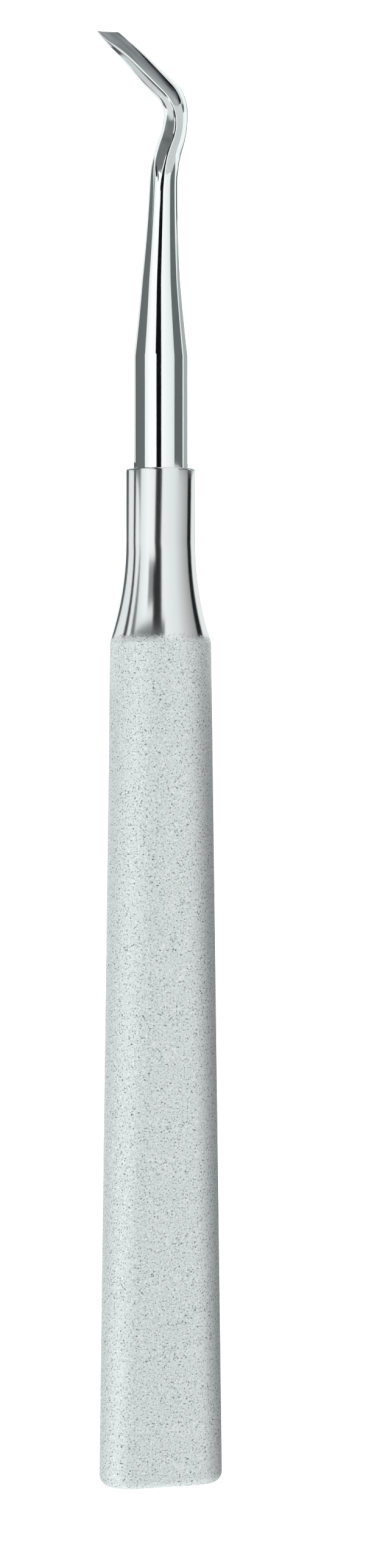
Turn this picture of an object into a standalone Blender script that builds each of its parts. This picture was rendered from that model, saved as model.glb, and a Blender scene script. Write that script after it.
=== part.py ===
"""A luxating elevator: a hollow steel handle with a forged steel working end.

The handle is a tube that is round at its shoulder and pressed flatter towards the butt, with a
turned neck. The working end stands in the neck by its tang. It is turned, ground with three
facets and a gouge, bent sideways at a contra-angle, and trimmed and bevelled at its tip.

Each piece is modelled upright: +Z from the butt to the tip, -Y the front that shows the gouge.
The rest pose then lays the tool on the flat back of its handle, with the tip towards +Y.
"""

import math

import bmesh
import bpy

MM = 0.001

# Handle, from the butt upwards
BODY_LENGTH = 94.7 * MM
BUTT_WIDTH = 14.2 * MM
BUTT_THICKNESS = 7.0 * MM
BUTT_EDGE = 1.2 * MM
BUTT_CROWN = 0.25 * MM
SHOULDER_DIAMETER = 11.3 * MM
HANDLE_WALL = 1.2 * MM
NECK_LENGTH = 19.4 * MM
NECK_WALL = 0.75 * MM
NECK_FLARE_RADIUS = 35.0 * MM
MOUTH_EDGE = 0.25 * MM

# Working end, from the neck's mouth upwards
SHANK_DIAMETER = 6.0 * MM
SHANK_FIT = 0.08 * MM
TANG_LENGTH = 17.0 * MM
TANG_CHAMFER = 0.6 * MM
SHANK_LENGTH = 12.6 * MM
TAPER_LENGTH = 21.0 * MM
TAPER_POWER = 1.65
BLADE_ROOT_DIAMETER = 3.1 * MM
BLADE_END_DIAMETER = 1.7 * MM
NOSE_LENGTH = 2.6 * MM
NOSE_DROP = 0.35 * MM
TIP_SPARE = 2.0 * MM

# The contra-angle: the shank leans right, swings upright again, then the blade turns left
LEAN_START = 7.4 * MM
FIRST_LEAN = math.radians(1.5)
FIRST_RADIUS = 60.0 * MM
FIRST_STRAIGHT = 9.75 * MM
LEAN_ANGLE = math.radians(20.0)
LEAN_RADIUS = 14.4 * MM
RETURN_RADIUS = 10.0 * MM
KNEE_RADIUS = 3.6 * MM
BLADE_ANGLE = math.radians(46.5)
BLADE_STRAIGHT = 9.45 * MM
TIP_CORNER = 0.8 * MM
TIP_BEVEL = math.radians(25.0)
TIP_LAND = 0.12 * MM

# Grinding cuts, each a wheel's round edge drawn along the blade. Each facet has its angle from
# the front, half the angle between its rims, and the share of that which is left on the blade
GOUGE_RADIUS = 1.5 * MM
TIP_GOUGE = (6.0, 78.0)
FACET_RADIUS = 8.0 * MM
FACETS = {
    "left_facet": (-52.0, 39.0, 0.7),
    "right_facet": (52.0, 36.0, 0.1),
    "front_facet": (0.0, 17.0, 0.5),
}
RUN_OUT_LENGTH = 1.1 * MM
RUN_OUT_LIFT = 0.6 * MM

# Smoothness, and how far a cutter reaches past what it cuts
WHEEL_STEPS = 14
WHEEL_RINGS = 10
SIDE_STEPS = 24
TURN_STEPS = 64
BLADE_RING = 0.35 * MM
CUTTER_REACH = 8.0 * MM

NECK_RADIUS = SHANK_DIAMETER / 2 + SHANK_FIT + NECK_WALL
MOUTH_HEIGHT = BODY_LENGTH + NECK_LENGTH
TAPER_START = MOUTH_HEIGHT + SHANK_LENGTH
CUT_ROOT = TAPER_START + TAPER_LENGTH
BEND_START = TAPER_START + LEAN_START
KNEE_START = (
    BEND_START
    + FIRST_RADIUS * FIRST_LEAN
    + FIRST_STRAIGHT
    + LEAN_RADIUS * (LEAN_ANGLE - FIRST_LEAN)
    + RETURN_RADIUS * LEAN_ANGLE
)
BLADE_START = KNEE_START + KNEE_RADIUS * BLADE_ANGLE
TIP_HEIGHT = BLADE_START + BLADE_STRAIGHT
BLANK_END = TIP_HEIGHT + TIP_SPARE


def clear_scene():
    for item in list(bpy.data.objects):
        bpy.data.objects.remove(item, do_unlink=True)


def new_collection(name):
    collection = bpy.data.collections.new(name)
    bpy.context.scene.collection.children.link(collection)
    return collection


def steel(name, colour, roughness):
    material = bpy.data.materials.new(name)
    material.use_nodes = True
    shader = material.node_tree.nodes["Principled BSDF"]
    shader.inputs["Base Color"].default_value = (*colour, 1.0)
    shader.inputs["Metallic"].default_value = 1.0
    shader.inputs["Roughness"].default_value = roughness
    return material


def link_object(name, data, collection):
    item = bpy.data.objects.new(name, data)
    collection.objects.link(item)
    return item


def as_cutter(item):
    item.hide_render = True
    item.display_type = "WIRE"
    return item


def stadium_ring(half_straight, radius, height):
    """One cross-section of the handle: two half circles, set apart along X."""
    ring = []
    for side in (1, -1):
        for step in range(SIDE_STEPS + 1):
            angle = math.pi * (step / SIDE_STEPS - 0.5)
            x = side * (half_straight + radius * math.cos(angle))
            ring.append((x, side * radius * math.sin(angle), height))
    return ring


def loft(name, rings, collection):
    """Skin a stack of rings that have the same number of points, and cap both ends."""
    mesh = bmesh.new()
    rows = [[mesh.verts.new(point) for point in ring] for ring in rings]
    count = len(rows[0])
    for low, high in zip(rows, rows[1:]):
        for i in range(count):
            j = (i + 1) % count
            mesh.faces.new((low[i], low[j], high[j], high[i]))
    mesh.faces.new(reversed(rows[0]))
    mesh.faces.new(rows[-1])
    bmesh.ops.remove_doubles(mesh, verts=mesh.verts, dist=1e-7)
    bmesh.ops.recalc_face_normals(mesh, faces=mesh.faces)
    data = bpy.data.meshes.new(name)
    mesh.to_mesh(data)
    mesh.free()
    return link_object(name, data, collection)


def body_section(height):
    """Half the straight part and the end radius of the handle's section at a height."""
    along = height / BODY_LENGTH
    butt_radius = BUTT_THICKNESS / 2
    shoulder_radius = SHOULDER_DIAMETER / 2
    half_straight = (BUTT_WIDTH / 2 - butt_radius) * (1 - along)
    return half_straight, butt_radius + (shoulder_radius - butt_radius) * along


def butt_rings():
    """The closed end: a faint crown, then a round edge that runs into the sides."""
    rings = []
    half_straight, radius = body_section(BUTT_EDGE + BUTT_CROWN)
    flat_radius = radius - BUTT_EDGE
    for reach in (0.35, 0.7):
        height = BUTT_CROWN * reach**2
        rings.append(stadium_ring(half_straight * reach, flat_radius * reach, height))
    edge_steps = 6
    for step in range(edge_steps + 1):
        turn = math.pi / 2 * step / edge_steps
        out = flat_radius + BUTT_EDGE * math.sin(turn)
        height = BUTT_CROWN + BUTT_EDGE * (1 - math.cos(turn))
        rings.append(stadium_ring(half_straight, out, height))
    return rings


def flare_drop(radius_gain):
    """Length along the neck in which the flare's arc widens by radius_gain."""
    return math.sqrt(2 * NECK_FLARE_RADIUS * radius_gain - radius_gain**2)


def handle_rings():
    rings = butt_rings()
    body_low = BUTT_EDGE + BUTT_CROWN
    body_steps = 10
    for step in range(1, body_steps + 1):
        height = body_low + (BODY_LENGTH - body_low) * step / body_steps
        rings.append(stadium_ring(*body_section(height), height))
    gain = SHOULDER_DIAMETER / 2 - NECK_RADIUS
    flare_length = flare_drop(gain)
    flare_steps = 10
    for step in range(1, flare_steps + 1):
        left = flare_length * (1 - step / flare_steps)
        sag = NECK_FLARE_RADIUS - math.sqrt(NECK_FLARE_RADIUS**2 - left**2)
        height = BODY_LENGTH + flare_length - left
        rings.append(stadium_ring(0.0, NECK_RADIUS + sag, height))
    edge_steps = 3
    for step in range(edge_steps + 1):
        turn = math.pi / 2 * step / edge_steps
        out = NECK_RADIUS - MOUTH_EDGE * (1 - math.cos(turn))
        height = MOUTH_HEIGHT - MOUTH_EDGE * (1 - math.sin(turn))
        rings.append(stadium_ring(0.0, out, height))
    return rings


def cavity_rings():
    """The hollow of the tube, the cone that closes it in, and the neck's bore."""
    rings = []
    body_steps = 4
    top = BODY_LENGTH - HANDLE_WALL
    for step in range(body_steps + 1):
        height = HANDLE_WALL + BUTT_CROWN + (top - HANDLE_WALL - BUTT_CROWN) * step / body_steps
        half_straight, radius = body_section(height)
        rings.append(stadium_ring(half_straight, radius - HANDLE_WALL, height))
    bore_radius = SHANK_DIAMETER / 2 + SHANK_FIT
    cone_length = SHOULDER_DIAMETER / 2 - HANDLE_WALL - bore_radius
    rings.append(stadium_ring(0.0, bore_radius, top + 3 * cone_length))
    rings.append(stadium_ring(0.0, bore_radius, MOUTH_HEIGHT + HANDLE_WALL))
    return rings


def make_handle(parts, cutters):
    handle = loft("handle", handle_rings(), parts)
    cavity = as_cutter(loft("handle_cavity", cavity_rings(), cutters))
    hollow = handle.modifiers.new("hollow", "BOOLEAN")
    hollow.object = cavity
    handle.data.materials.append(steel("blasted_steel", (0.52, 0.55, 0.55), 0.45))
    return handle


def blank_radius(height):
    """Radius of the turned working end at a height along its unbent axis."""
    if height <= TAPER_START:
        return SHANK_DIAMETER / 2
    root = BLADE_ROOT_DIAMETER / 2
    if height <= CUT_ROOT:
        left = (CUT_ROOT - height) / TAPER_LENGTH
        return root + (SHANK_DIAMETER / 2 - root) * left**TAPER_POWER
    along = (height - CUT_ROOT) / (BLANK_END - CUT_ROOT)
    radius = root + (BLADE_END_DIAMETER / 2 - root) * along
    nose = max(0.0, 1 - (BLANK_END - height) / (NOSE_LENGTH + TIP_SPARE))
    return radius - NOSE_DROP * nose**2


def blank_profile():
    """The outer line of the turned blank, from its tip down to the end of its tang."""
    low = MOUTH_HEIGHT - TANG_LENGTH
    heights = []
    blade_steps = round((BLANK_END - CUT_ROOT) / BLADE_RING)
    for step in range(blade_steps + 1):
        heights.append(BLANK_END - (BLANK_END - CUT_ROOT) * step / blade_steps)
    taper_steps = 16
    for step in range(1, taper_steps + 1):
        heights.append(CUT_ROOT - TAPER_LENGTH * step / taper_steps)
    points = [(0.0, BLANK_END)]
    points += [(blank_radius(height), height) for height in heights]
    points.append((SHANK_DIAMETER / 2, low + TANG_CHAMFER))
    points.append((SHANK_DIAMETER / 2 - TANG_CHAMFER, low))
    points.append((0.0, low))
    return points


def turned(name, profile, collection):
    """A mesh outline of (radius, height) points, turned about Z by a Screw modifier."""
    data = bpy.data.meshes.new(name)
    edges = [(i, i + 1) for i in range(len(profile) - 1)]
    data.from_pydata([(radius, 0.0, height) for radius, height in profile], edges, [])
    item = link_object(name, data, collection)
    screw = item.modifiers.new("turn", "SCREW")
    screw.steps = TURN_STEPS
    screw.render_steps = TURN_STEPS
    screw.use_merge_vertices = True
    screw.merge_threshold = 1e-6
    return item


def poly_curve(name, points, collection):
    data = bpy.data.curves.new(name, "CURVE")
    data.dimensions = "3D"
    spline = data.splines.new("POLY")
    spline.points.add(len(points) - 1)
    for point, place in zip(spline.points, points):
        point.co = (*place, 1.0)
        point.tilt = math.pi
    return link_object(name, data, collection)


def arc_run(place, heading, radius, turn, steps):
    """Points on an arc in the XZ plane; a positive turn bends from +Z towards +X."""
    x, z = place
    points = []
    for step in range(1, steps + 1):
        now = heading + turn * step / steps
        side = math.copysign(radius, turn)
        points.append(
            (
                x + side * (math.cos(heading) - math.cos(now)),
                z + side * (math.sin(now) - math.sin(heading)),
            )
        )
    return points, heading + turn


def straight_run(place, heading, length, steps):
    x, z = place
    rise, side = math.cos(heading) * length, math.sin(heading) * length
    return [(x + side * s / steps, z + rise * s / steps) for s in range(1, steps + 1)]


def bend_line():
    """The axis of the finished working end in the XZ plane, and its point at the tip."""
    line = [(0.0, 0.0), (0.0, BEND_START / 2), (0.0, BEND_START - MM), (0.0, BEND_START)]
    run, heading = arc_run(line[-1], 0.0, FIRST_RADIUS, FIRST_LEAN, 4)
    line += run
    line += straight_run(line[-1], heading, FIRST_STRAIGHT, 6)
    for radius, turn in (
        (LEAN_RADIUS, LEAN_ANGLE - FIRST_LEAN),
        (RETURN_RADIUS, -LEAN_ANGLE),
        (KNEE_RADIUS, -BLADE_ANGLE),
    ):
        run, heading = arc_run(line[-1], heading, radius, turn, 14)
        line += run
    line += straight_run(line[-1], heading, BLADE_STRAIGHT, 8)
    tip = line[-1]
    line += straight_run(line[-1], heading, TIP_SPARE * 2, 2)
    return line, tip


def curve_to_mesh(name, curve, collection):
    """A closed mesh object with the shape and place of a curve object, which it replaces."""
    bpy.context.view_layer.update()
    depsgraph = bpy.context.evaluated_depsgraph_get()
    data = bpy.data.meshes.new_from_object(curve.evaluated_get(depsgraph))
    mesh = bmesh.new()
    mesh.from_mesh(data)
    bmesh.ops.remove_doubles(mesh, verts=mesh.verts, dist=1e-7)
    bmesh.ops.recalc_face_normals(mesh, faces=mesh.faces)
    mesh.to_mesh(data)
    mesh.free()
    solid = link_object(name, data, collection)
    solid.matrix_world = curve.matrix_world
    bpy.data.objects.remove(curve)
    return solid


def wheel_station(height, turn, rim, wheel_radius):
    """Centre of a wheel that meets the round blank in two rims, at turn - rim and turn + rim.

    Angles are in degrees about the blank's axis: 0 is the front, positive to the right.
    """
    radius = blank_radius(height)
    turn, rim = math.radians(turn), math.radians(rim)
    chord = min(radius * math.sin(rim), wheel_radius * 0.98)
    reach = radius * math.cos(rim) + math.sqrt(wheel_radius**2 - chord**2)
    return reach * math.sin(turn), -reach * math.cos(turn), height


def grinding_cut(name, wheel_radius, stations, collection):
    """A round bar drawn along the blank through stations of (height, turn, rim).

    Below its first station the bar narrows to a round nose, which lifts it out of the blank.
    """
    knots = [(wheel_station(*station, wheel_radius), 1.0) for station in stations]
    x, y, z = knots[0][0]
    for reach in (0.33, 0.67, 1.0):
        nose = 1 - RUN_OUT_LIFT * reach**2 / wheel_radius
        knots.insert(0, ((x, y, z - RUN_OUT_LENGTH * reach), nose))
    data = bpy.data.curves.new(name, "CURVE")
    data.dimensions = "3D"
    data.bevel_depth = wheel_radius
    data.bevel_resolution = WHEEL_STEPS
    data.resolution_u = WHEEL_RINGS
    data.use_fill_caps = True
    spline = data.splines.new("BEZIER")
    spline.bezier_points.add(len(knots) - 1)
    for knot, (place, girth) in zip(spline.bezier_points, knots):
        knot.co = place
        knot.radius = girth
        knot.handle_left_type = "AUTO"
        knot.handle_right_type = "AUTO"
    return as_cutter(curve_to_mesh(name, link_object(name + "_path", data, collection), collection))


def gouge_stations():
    """The gouge starts turned to the left in the knee and widens until it fills the blade."""
    return (
        (KNEE_START + 0.40 * (BLADE_START - KNEE_START), -10.0, 20.0),
        (KNEE_START + 0.75 * (BLADE_START - KNEE_START), -11.0, 30.0),
        (BLADE_START + 0.12 * BLADE_STRAIGHT, -8.0, 39.0),
        (BLADE_START + 0.30 * BLADE_STRAIGHT, 4.0, 48.0),
        (BLADE_START + 0.60 * BLADE_STRAIGHT, 10.0, 56.0),
        (TIP_HEIGHT, *TIP_GOUGE),
        (BLANK_END + TIP_SPARE, 6.0, 100.0),
    )


def facet_stations(turn, rim, blade_share):
    """A facet that keeps its width along the shank and narrows to a share of it on the blade."""
    return (
        (CUT_ROOT, turn, rim),
        (KNEE_START, turn, rim),
        (BLADE_START, turn, rim * (1 + blade_share) / 2),
        (BLADE_START + BLADE_STRAIGHT / 2, turn, rim * blade_share),
        (BLANK_END + TIP_SPARE, turn, rim * blade_share),
    )


def tip_cutter(tip, collection):
    """The outline that trims the tip: square to the handle, with a round outer corner."""
    x, z = tip
    corner_turn = math.pi / 2 - BLADE_ANGLE
    radius = blank_radius(TIP_HEIGHT - BLADE_END_DIAMETER / 2)
    corner_x = x + radius / math.cos(BLADE_ANGLE)
    start = corner_x - TIP_CORNER * math.tan(corner_turn / 2)
    left, right, top = x - CUTTER_REACH, x + CUTTER_REACH, z + CUTTER_REACH
    points = [(left, z), (start, z)]
    steps = 6
    for step in range(1, steps + 1):
        turn = corner_turn * step / steps
        points.append((start + TIP_CORNER * math.sin(turn), z - TIP_CORNER * (1 - math.cos(turn))))
    points += [(right, points[-1][1]), (right, top), (left, top)]
    data = bpy.data.curves.new("tip_cut", "CURVE")
    data.dimensions = "2D"
    data.fill_mode = "BOTH"
    data.extrude = CUTTER_REACH
    spline = data.splines.new("POLY")
    spline.use_cyclic_u = True
    spline.points.add(len(points) - 1)
    for point, (px, pz) in zip(spline.points, points):
        point.co = (px, pz, 0.0, 1.0)
    outline = link_object("tip_cut_outline", data, collection)
    outline.rotation_euler = (math.pi / 2, 0.0, 0.0)
    return as_cutter(curve_to_mesh("tip_cut", outline, collection))


def bevel_cutter(tip, collection):
    """A block that bevels the back of the tip, so that a narrow land is left at the edge."""
    floor = wheel_station(TIP_HEIGHT, *TIP_GOUGE, GOUGE_RADIUS)[1] + GOUGE_RADIUS
    half = CUTTER_REACH
    bpy.ops.mesh.primitive_cube_add(size=2 * half)
    block = bpy.context.object
    block.name = "tip_bevel"
    block.rotation_euler = (TIP_BEVEL, 0.0, 0.0)
    block.location = (
        tip[0],
        floor + TIP_LAND + half * math.cos(TIP_BEVEL),
        tip[1] + half * math.sin(TIP_BEVEL),
    )
    for home in list(block.users_collection):
        home.objects.unlink(block)
    collection.objects.link(block)
    return as_cutter(block)


def cut_with(item, name, cutter):
    cut = item.modifiers.new(name, "BOOLEAN")
    cut.operation = "DIFFERENCE"
    cut.object = cutter


def make_working_end(parts, cutters):
    blade = turned("working_end", blank_profile(), parts)
    for name, facet in FACETS.items():
        wheel = grinding_cut(name + "_wheel", FACET_RADIUS, facet_stations(*facet), cutters)
        cut_with(blade, name, wheel)
    gouge = grinding_cut("gouge_wheel", GOUGE_RADIUS, gouge_stations(), cutters)
    cut_with(blade, "gouge", gouge)
    line, tip = bend_line()
    path = as_cutter(poly_curve("bend_line", [(x, 0.0, z) for x, z in line], cutters))
    bend = blade.modifiers.new("contra_angle", "CURVE")
    bend.object = path
    bend.deform_axis = "POS_Z"
    cut_with(blade, "tip", tip_cutter(tip, cutters))
    cut_with(blade, "tip_back", bevel_cutter(tip, cutters))
    blade.data.materials.append(steel("polished_steel", (0.62, 0.65, 0.65), 0.12))
    return blade, tip[1]


def lay_down(pieces, overall, parts):
    """Lay the tool on its flat back, its length along +Y, centred over the origin."""
    slope = math.atan((SHOULDER_DIAMETER - BUTT_THICKNESS) / 2 / BODY_LENGTH)
    rest = link_object("rest_pose", None, parts)
    rest.rotation_euler = (slope - math.pi / 2, 0.0, 0.0)
    rest.location = (0.0, -overall * math.cos(slope) / 2, BUTT_THICKNESS / 2 * math.cos(slope))
    for piece in pieces:
        piece.parent = rest
    return rest


def main():
    clear_scene()
    parts = new_collection("luxating_elevator")
    cutters = new_collection("cutters")
    handle = make_handle(parts, cutters)
    blade, overall = make_working_end(parts, cutters)
    rest = lay_down((handle, blade), overall, parts)
    for cutter in cutters.objects:
        cutter.parent = rest


main()
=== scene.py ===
# %% [markdown]
# # A luxating elevator in a white studio
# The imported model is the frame: a hollow handle and a forged working end, two steel pieces that
# are one rigid body. This lesson gives each its real surface, mirror polish on the working end,
# a satin polish on the neck and a sandblasted grain on the grip. Then it builds the studio,
# because polished steel shows nothing but what stands round it.

# %% Load the frame
import math

import bpy
from mathutils import Matrix, Vector


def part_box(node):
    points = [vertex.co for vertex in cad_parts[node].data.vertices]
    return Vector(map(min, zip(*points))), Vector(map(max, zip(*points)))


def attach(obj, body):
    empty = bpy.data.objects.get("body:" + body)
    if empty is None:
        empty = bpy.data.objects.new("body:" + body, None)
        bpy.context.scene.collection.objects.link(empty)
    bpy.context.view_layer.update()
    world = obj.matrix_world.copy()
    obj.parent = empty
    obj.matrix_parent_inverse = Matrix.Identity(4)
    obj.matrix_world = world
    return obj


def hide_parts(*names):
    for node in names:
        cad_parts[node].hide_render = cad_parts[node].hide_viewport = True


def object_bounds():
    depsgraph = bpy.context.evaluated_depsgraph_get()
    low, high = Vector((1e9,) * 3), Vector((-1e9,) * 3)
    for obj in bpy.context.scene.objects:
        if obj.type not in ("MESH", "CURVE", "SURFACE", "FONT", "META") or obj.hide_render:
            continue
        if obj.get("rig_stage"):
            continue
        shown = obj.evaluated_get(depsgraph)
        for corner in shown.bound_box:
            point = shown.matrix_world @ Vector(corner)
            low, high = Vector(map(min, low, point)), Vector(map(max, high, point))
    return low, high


MM = 0.001
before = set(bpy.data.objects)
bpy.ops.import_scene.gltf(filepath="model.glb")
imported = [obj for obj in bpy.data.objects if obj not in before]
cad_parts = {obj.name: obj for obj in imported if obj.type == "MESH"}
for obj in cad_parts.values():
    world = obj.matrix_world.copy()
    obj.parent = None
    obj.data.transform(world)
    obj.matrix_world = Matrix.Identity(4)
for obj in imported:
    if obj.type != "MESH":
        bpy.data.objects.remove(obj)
cad_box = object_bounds()
print("CAD nodes:", sorted(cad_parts))

# %% [markdown]
# ## The handle's skin
# The real handle is a tube, drawn in at the neck and pressed flat towards the butt. Its shape in
# the CAD model is right, so it isn't modelled twice. But a CAD node comes in as loose flat
# triangles, and the polished neck would show each one of them. So the handle is a copy of its
# node whose corners are merged and shaded smooth, crisp only where two faces meet at more than a
# few degrees. A Weighted Normal modifier lets the long faces of the neck decide what it reflects,
# and not the narrow ones beside them. The copy stands for the node, which stays in the physics
# model.

# %% Copy, merge and smooth a node
CRISP_ANGLE = math.radians(16)
MERGE_DISTANCE = 1e-7
# The modifier's setting that gives the largest faces the most say
AREA_WEIGHT = 100


def deselect_all():
    for item in bpy.context.selected_objects:
        item.select_set(False)


def select_only(item):
    """Select one object alone, and make it the active one."""
    deselect_all()
    item.select_set(True)
    bpy.context.view_layer.objects.active = item


def smooth_skin(node, name):
    """A merged copy of a CAD node, smooth but for its real edges, in the node's own place."""
    select_only(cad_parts[node])
    bpy.ops.object.duplicate()
    skin = bpy.context.object
    for key in [key for key in skin.keys() if key.startswith("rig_")]:
        del skin[key]
    skin.parent = None
    skin.name = skin.data.name = name
    bpy.ops.mesh.customdata_custom_splitnormals_clear()
    bpy.ops.object.mode_set(mode="EDIT")
    bpy.ops.mesh.select_all(action="SELECT")
    bpy.ops.mesh.remove_doubles(threshold=MERGE_DISTANCE)
    bpy.ops.object.mode_set(mode="OBJECT")
    bpy.ops.object.shade_smooth_by_angle(angle=CRISP_ANGLE)
    even = skin.modifiers.new("even", "WEIGHTED_NORMAL")
    even.keep_sharp = True
    even.weight = AREA_WEIGHT
    bpy.ops.object.modifier_apply(modifier=even.name)
    skin.data.materials.clear()
    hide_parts(node)
    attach(skin, "root")
    print(name, "has", len(skin.data.vertices), "points and", len(skin.data.polygons), "faces")
    return skin


handle = smooth_skin("handle", "handle_tube")

# %% [markdown]
# ## Helpers for materials
# Colours are picked in sRGB hex, as a colour picker shows them, and turned to linear in one
# place. One small function adds any node with its settings and its links, and the ramps and the
# steels that come again have one each. Patterns that run along the tool, such as wheel marks,
# are noise that is stretched that way.

# %% Colours and nodes
# A stretched pattern's scale across, along and through the tool
STRETCH = (1.0, 0.03, 1.0)


def linear(hex_colour):
    """An sRGB hex colour as linear RGBA."""
    parts = [int(hex_colour[i:i + 2], 16) / 255 for i in (1, 3, 5)]
    return (*[c / 12.92 if c <= 0.04045 else ((c + 0.055) / 1.055) ** 2.4 for c in parts], 1.0)


def add_node(tree, kind, settings=(), inputs=()):
    """Add a node, set its properties, then fill its sockets with values or links."""
    node = tree.nodes.new(kind)
    for name, value in dict(settings).items():
        setattr(node, name, value)
    for name, value in dict(inputs).items():
        if isinstance(value, bpy.types.NodeSocket):
            tree.links.new(value, node.inputs[name])
        else:
            node.inputs[name].default_value = value
    return node


def add_ramp(tree, share, colours):
    """Add a colour ramp with hex colours at their places from 0 to 1."""
    ramp = add_node(tree, "ShaderNodeValToRGB", inputs={"Fac": share})
    stops = ramp.color_ramp.elements
    for place, hex_colour in colours[1:-1]:
        stops.new(place)
    for stop, (place, hex_colour) in zip(stops, colours):
        stop.position = place
        stop.color = linear(hex_colour)
    return ramp


def add_steel(tree, colour, rough, bump):
    """Add a metal's shader with its roughness and its bump, and the material's output."""
    shader = add_node(tree, "ShaderNodeBsdfPrincipled", inputs={
        "Base Color": colour, "Metallic": 1.0,
        "Roughness": rough.outputs["Result"], "Normal": bump.outputs["Normal"]})
    add_node(tree, "ShaderNodeOutputMaterial", inputs={"Surface": shader.outputs["BSDF"]})


def new_material(name):
    """A material with nodes but none in it yet, and its node tree."""
    material = bpy.data.materials.new(name)
    material.use_nodes = True
    material.node_tree.nodes.clear()
    return material, material.node_tree


print("Mid grey, in linear light:", round(linear("#808080")[0], 3))

# %% [markdown]
# ## Mirror-polished stainless steel
# The working end is martensitic stainless steel, ground, then polished on felt wheels. It has no
# colour of its own but a faint cool green. What the eye reads as mirror polish is not a perfect
# mirror: the wheel leaves very shallow waves a millimetre or two long, which make the reflected
# stripes waver, and hairlines along the tool that only just soften them.

# %% Polished steel
POLISHED_COLOUR = "#E2E8E7"
POLISHED_ROUGHNESS = 0.045
WAVE_LENGTH = 1.6 * MM
WAVE_HEIGHT = 0.0004 * MM
HAIRLINE_WIDTH = 0.05 * MM
HAIRLINE_ROUGHNESS = 0.05
# The noise's values that stand for no hairline and for a full one
HAIRLINE_NOISE = (0.35, 0.75)


def mirror_polished_stainless_steel():
    material, tree = new_material("mirror_polished_stainless_steel")
    place = add_node(tree, "ShaderNodeTexCoord").outputs["Object"]
    waves = add_node(tree, "ShaderNodeTexNoise", inputs={
        "Vector": place, "Scale": 1 / WAVE_LENGTH, "Detail": 1.0})
    shallow = add_node(tree, "ShaderNodeBump", inputs={
        "Height": waves.outputs["Fac"], "Distance": WAVE_HEIGHT, "Strength": 1.0})
    along = add_node(tree, "ShaderNodeMapping", inputs={"Vector": place, "Scale": STRETCH})
    hairlines = add_node(tree, "ShaderNodeTexNoise", inputs={
        "Vector": along.outputs["Vector"], "Scale": 1 / HAIRLINE_WIDTH, "Detail": 2.0})
    rough = add_node(tree, "ShaderNodeMapRange", inputs={
        "Value": hairlines.outputs["Fac"],
        "From Min": HAIRLINE_NOISE[0], "From Max": HAIRLINE_NOISE[1],
        "To Min": POLISHED_ROUGHNESS, "To Max": POLISHED_ROUGHNESS + HAIRLINE_ROUGHNESS})
    add_steel(tree, linear(POLISHED_COLOUR), rough, shallow)
    return material


polished = mirror_polished_stainless_steel()
print("Made", polished.name)

# %% [markdown]
# ## Ground stainless steel
# The facets and the gouge come off the wheel and are only lightly buffed, so they stay satin.
# Fine lines run along each cut, and the gouge is duller than the facets. Its colour is darker
# too, most of all a little right of its middle: painted shade, the hollow's shading painted into
# the steel. A nearly black line of painted shade runs along the gouge's right rim, and it is what
# makes the eye see a hollow. One function makes all three finishes: stretched noise gives the
# lines, and a ramp across them the bands of colour, painted shade in the gouge and a faint
# painted sheen across the middle of the facets.

# %% Ground steel
# Real wheel marks are some hundredths of a millimetre apart, drawn coarser here so that they show
GRINDING_LINE = 0.16 * MM
LINE_DEPTH = 0.0006 * MM
# How far the lines make the bands of colour stray, and half the width that the bands cover
LINE_STRAY = 0.35 * MM
GROUND_HALF = 1.2 * MM
# Share of the way across the hollow, from its left rim, and the steel's colour there, which
# darkens towards the middle as painted shade of the hollow
HOLLOW_SHADE_COLOURS = ((0.0, "#A9AFB0"), (0.28, "#A2A8A9"), (0.42, "#888E90"), (0.62, "#6E7476"),
                  (0.78, "#8A9092"), (1.0, "#A4AAAB"))
# The facets' grey is the ground steel's tone, a little lighter across the middle: painted sheen
FACET_TONE_AND_SHEEN_COLOURS = ((0.0, "#BCC1C1"), (0.5, "#C8CDCD"), (1.0, "#C0C5C5"))
# Nearly black steel along the gouge's right rim: painted shade
RIM_SHADE_COLOURS = ((0.0, "#303436"), (1.0, "#3C4143"))
FACET_ROUGHNESS, GOUGE_ROUGHNESS, RIM_SHADE_ROUGHNESS = 0.13, 0.26, 0.2
LINE_ROUGHNESS = 0.05
LINE_NOISE = (0.3, 0.7)
# How far each finish's lines lean to the left, and where their middle lies across the tool
FACET_LEAN = math.radians(-10)
FACET_MIDDLE = -13.0 * MM
BLADE_LEAN = math.radians(48.7)
BLADE_MIDDLE = 56.86 * MM


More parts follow.
